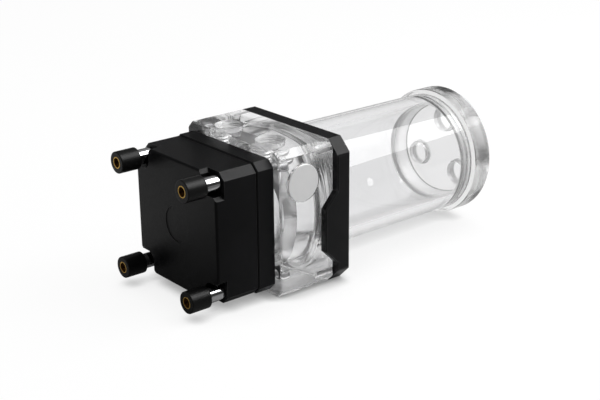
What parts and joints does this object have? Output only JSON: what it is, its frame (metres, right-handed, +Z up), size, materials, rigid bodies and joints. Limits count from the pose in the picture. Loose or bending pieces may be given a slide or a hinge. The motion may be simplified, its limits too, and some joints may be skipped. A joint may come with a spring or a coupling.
{
  "type": "coolant pump reservoir",
  "caption": "Liquid-cooling pump with a tube reservoir: a black pump on rubber feet, a clear ported block and a clear tube closed by a ported screw cap.",
  "frame": {"origin": "centre of the clear block's lower face, which the unit lies on", "axes": "+X along the tube towards the screw cap, +Z up through the block's ports, -Y the side with the silver disc"},
  "size_m": [0.1809, 0.075, 0.068],
  "materials": {
    "pump_black": "fine grain",
    "ring_black": "fine grain",
    "block_clear": "clear acrylic, milled",
    "disc_silver": "satin",
    "plate_black": "fine grain",
    "tube_clear": "clear acrylic, polished",
    "cap_clear": "clear acrylic, turned",
    "damper_rubber": "matte",
    "insert_brass": "turned",
    "post_nickel": "polished nickel",
    "stud_steel": "zinc plated",
    "shell_plastic": "moulded",
    "board_laminate": "solder mask",
    "chip_plastic": "moulded",
    "core_steel": "laminated",
    "coil_copper": "enamelled wire",
    "can_plastic": "moulded",
    "pin_ceramic": "ground",
    "bush_carbon": "carbon filled",
    "magnet_ferrite": "ground",
    "impeller_plastic": "moulded",
    "seal_clear": "clear silicone",
    "screw_black": "black oxide",
    "bush_rubber": "matte"
  },
  "bodies": {
    "base": {"pump_cover": "pump_black", "mounting_ring": "ring_black", "pump_top": "block_clear", "side_disc": "disc_silver", "reservoir_plate": "plate_black", "reservoir_tube": "tube_clear", "rubber_dampers": "damper_rubber", "damper_inserts": "insert_brass", "standoffs": "post_nickel", "damper_studs": "stud_steel", "motor_shell": "shell_plastic", "circuit_board": "board_laminate", "drive_chips": "chip_plastic", "stator_core": "core_steel", "stator_coils": "coil_copper", "separator_can": "can_plastic", "pivot_pin": "pin_ceramic", "pump_seal": "seal_clear", "base_seal": "seal_clear", "plate_screws": "screw_black", "cable_bush": "bush_rubber"},
    "rotor": {"impeller": "impeller_plastic", "impeller_cover": "impeller_plastic", "rotor_magnet": "magnet_ferrite", "bearing_bush": "bush_carbon"},
    "seal_ring": {"cap_seal": "seal_clear"},
    "cap": {"end_cap": "cap_clear"}
  },
  "joints": [
    {"name": "impeller_spin", "type": "hinge", "parent": "base", "child": "rotor", "pos_m": [-0.02, 0, 0.034], "axis": [-1, 0, 0], "continuous": true},
    {"name": "cap_travel", "type": "slide", "parent": "base", "child": "seal_ring", "axis": [1, 0, 0], "range_m": [0, 0.0063]},
    {"name": "cap_turn", "type": "hinge", "parent": "seal_ring", "child": "cap", "pos_m": [0.11, 0, 0.034], "axis": [1, 0, 0], "range_deg": [0, 1500]}
  ],
  "couplings": [
    {"joint": "cap_travel", "follows": "cap_turn", "m_per_rad": 0.00023873}
  ]
}
